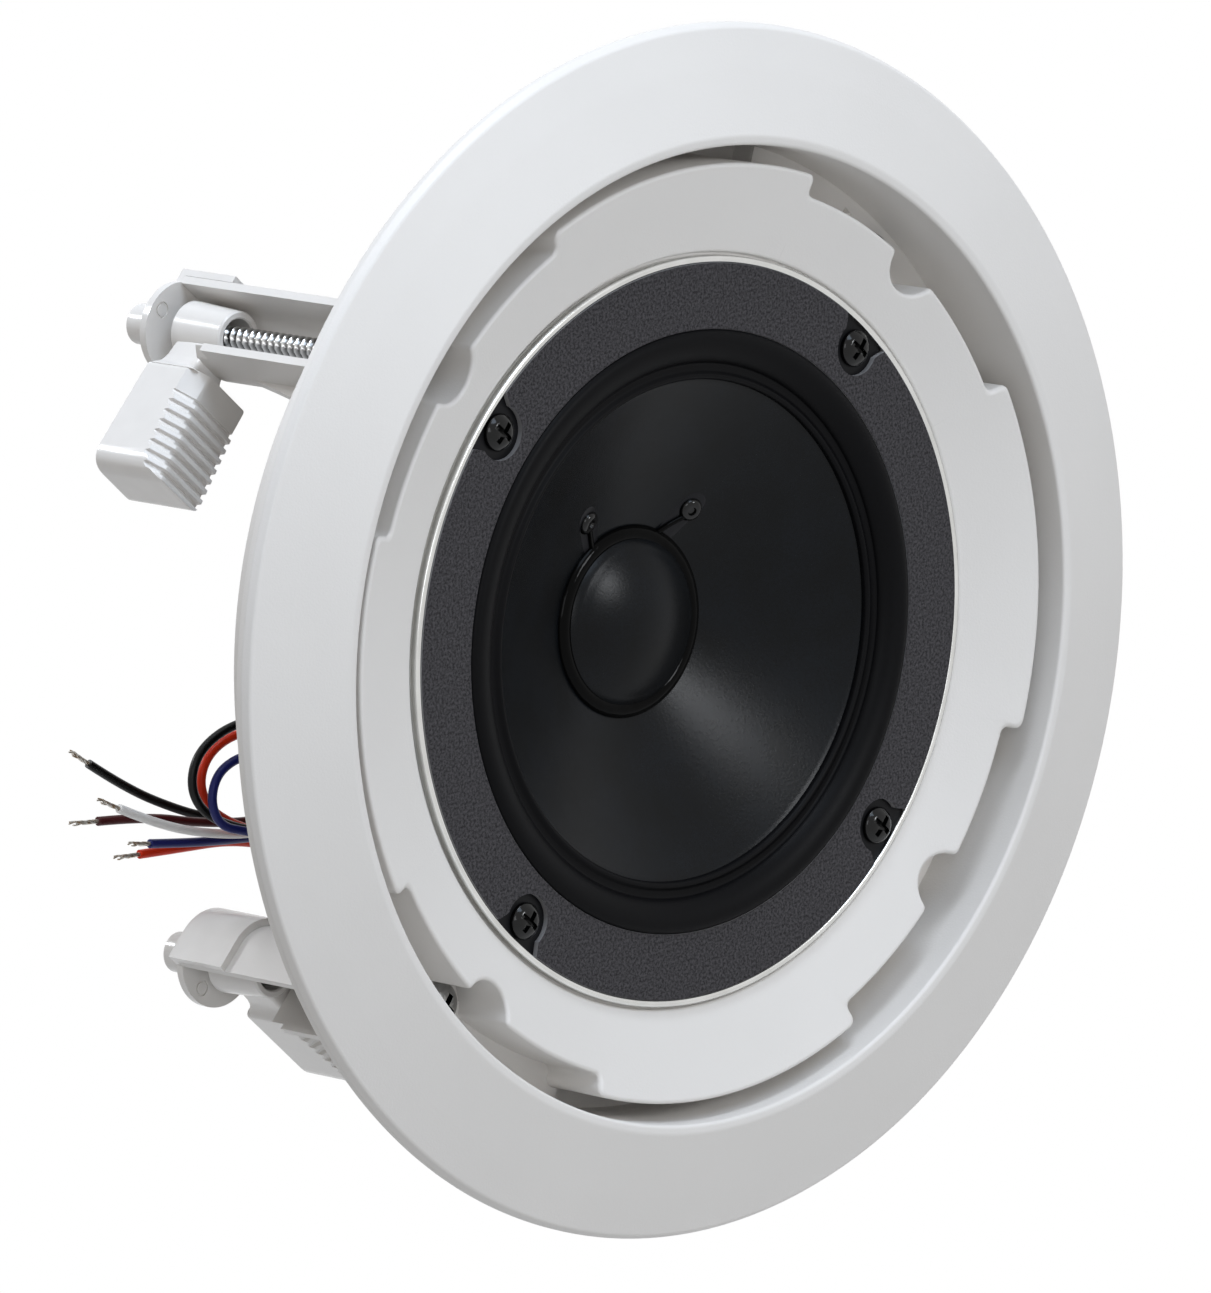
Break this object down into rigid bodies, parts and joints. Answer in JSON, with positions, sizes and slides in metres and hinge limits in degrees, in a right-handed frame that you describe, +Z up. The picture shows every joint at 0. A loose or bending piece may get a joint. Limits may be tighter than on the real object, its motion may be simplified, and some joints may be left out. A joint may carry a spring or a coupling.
{
  "type": "recessed ceiling loudspeaker",
  "caption": "Round recessed ceiling loudspeaker without its grille: white flanged bezel with swing-out clamps, small full-range driver and a line transformer with stripped leads.",
  "frame": {"origin": "on the loudspeaker's axis, in the plane where the back of the flange rests on the ceiling", "axes": "-Y is where the loudspeaker faces, +Y points into the ceiling void along the skirt's axis, +Z is up as pictured"},
  "size_m": [0.194, 0.0823, 0.194],
  "materials": {
    "white_plastic": "moulded, fine satin texture",
    "clamp_plastic": "moulded, semi-gloss",
    "zinc_steel": "zinc plated",
    "bright_steel": "bright pressed sheet",
    "gasket_fibre": "matt fibre board",
    "black_steel": "black, glossy",
    "black_rubber": "satin",
    "black_paper": "coated paper pulp, soft sheen",
    "former_foil": "thin foil",
    "copper_wire": "enamelled copper",
    "spider_cloth": "impregnated cloth",
    "plated_steel": "zinc plated",
    "ferrite": "sintered, matt",
    "strip_board": "phenolic board",
    "tinned_brass": "tinned",
    "core_steel": "varnished laminations",
    "bobbin_plastic": "moulded",
    "winding_tape": "polyester tape",
    "insulation_black": "smooth insulation",
    "insulation_red": "smooth insulation",
    "insulation_blue": "smooth insulation",
    "insulation_white": "smooth insulation",
    "insulation_brown": "smooth insulation",
    "tinned_strands": "tinned copper strands"
  },
  "bodies": {
    "frame": {"bezel": "white_plastic", "clamp_cap_upper_right": "clamp_plastic", "clamp_cap_upper_left": "clamp_plastic", "clamp_cap_lower_left": "clamp_plastic", "clamp_cap_lower_right": "clamp_plastic", "basket": "bright_steel", "gasket": "gasket_fibre", "driver_screws": "black_steel", "surround": "black_rubber", "spider": "spider_cloth", "top_plate": "plated_steel", "magnet": "ferrite", "yoke": "plated_steel", "terminal_strip": "strip_board", "terminal_rivet": "tinned_brass", "solder_lugs": "tinned_brass", "transformer_core": "core_steel", "transformer_bobbin": "bobbin_plastic", "transformer_winding": "winding_tape", "transformer_bracket": "plated_steel", "bracket_screws": "zinc_steel", "lead_black": "insulation_black", "lead_tip_black": "tinned_strands", "lead_red": "insulation_red", "lead_tip_red": "tinned_strands", "lead_blue": "insulation_blue", "lead_tip_blue": "tinned_strands", "lead_white": "insulation_white", "lead_tip_white": "tinned_strands", "lead_brown": "insulation_brown", "lead_tip_brown": "tinned_strands"},
    "cone_assembly": {"cone": "black_paper", "dust_cap": "black_paper", "lead_eyelets": "black_steel", "coil_former": "former_foil", "voice_coil": "copper_wire"},
    "arm_upper_right": {"clamp_arm_upper_right": "clamp_plastic"},
    "screw_upper_right": {"clamp_screw_upper_right": "zinc_steel"},
    "arm_upper_left": {"clamp_arm_upper_left": "clamp_plastic"},
    "screw_upper_left": {"clamp_screw_upper_left": "zinc_steel"},
    "arm_lower_left": {"clamp_arm_lower_left": "clamp_plastic"},
    "screw_lower_left": {"clamp_screw_lower_left": "zinc_steel"},
    "arm_lower_right": {"clamp_arm_lower_right": "clamp_plastic"},
    "screw_lower_right": {"clamp_screw_lower_right": "zinc_steel"}
  },
  "joints": [
    {"name": "cone_travel", "type": "slide", "parent": "frame", "child": "cone_assembly", "axis": [0, -1, 0], "range_m": [-0.0025, 0.0025], "stiffness_N_per_m": 1500, "deforming": ["surround", "spider"]},
    {"name": "arm_swing_upper_right", "type": "hinge", "parent": "frame", "child": "arm_upper_right", "pos_m": [0.05134, 0, 0.05134], "axis": [0, 1, 0], "range_deg": [0, 90]},
    {"name": "screw_turn_upper_right", "type": "hinge", "parent": "frame", "child": "screw_upper_right", "pos_m": [0.05134, 0, 0.05134], "axis": [0, 1, 0], "continuous": true},
    {"name": "arm_swing_upper_left", "type": "hinge", "parent": "frame", "child": "arm_upper_left", "pos_m": [-0.05134, 0, 0.05134], "axis": [0, 1, 0], "range_deg": [0, 90]},
    {"name": "screw_turn_upper_left", "type": "hinge", "parent": "frame", "child": "screw_upper_left", "pos_m": [-0.05134, 0, 0.05134], "axis": [0, 1, 0], "continuous": true},
    {"name": "arm_swing_lower_left", "type": "hinge", "parent": "frame", "child": "arm_lower_left", "pos_m": [-0.05134, 0, -0.05134], "axis": [0, 1, 0], "range_deg": [0, 90]},
    {"name": "screw_turn_lower_left", "type": "hinge", "parent": "frame", "child": "screw_lower_left", "pos_m": [-0.05134, 0, -0.05134], "axis": [0, 1, 0], "continuous": true},
    {"name": "arm_swing_lower_right", "type": "hinge", "parent": "frame", "child": "arm_lower_right", "pos_m": [0.05134, 0, -0.05134], "axis": [0, 1, 0], "range_deg": [0, 90]},
    {"name": "screw_turn_lower_right", "type": "hinge", "parent": "frame", "child": "screw_lower_right", "pos_m": [0.05134, 0, -0.05134], "axis": [0, 1, 0], "continuous": true}
  ]
}
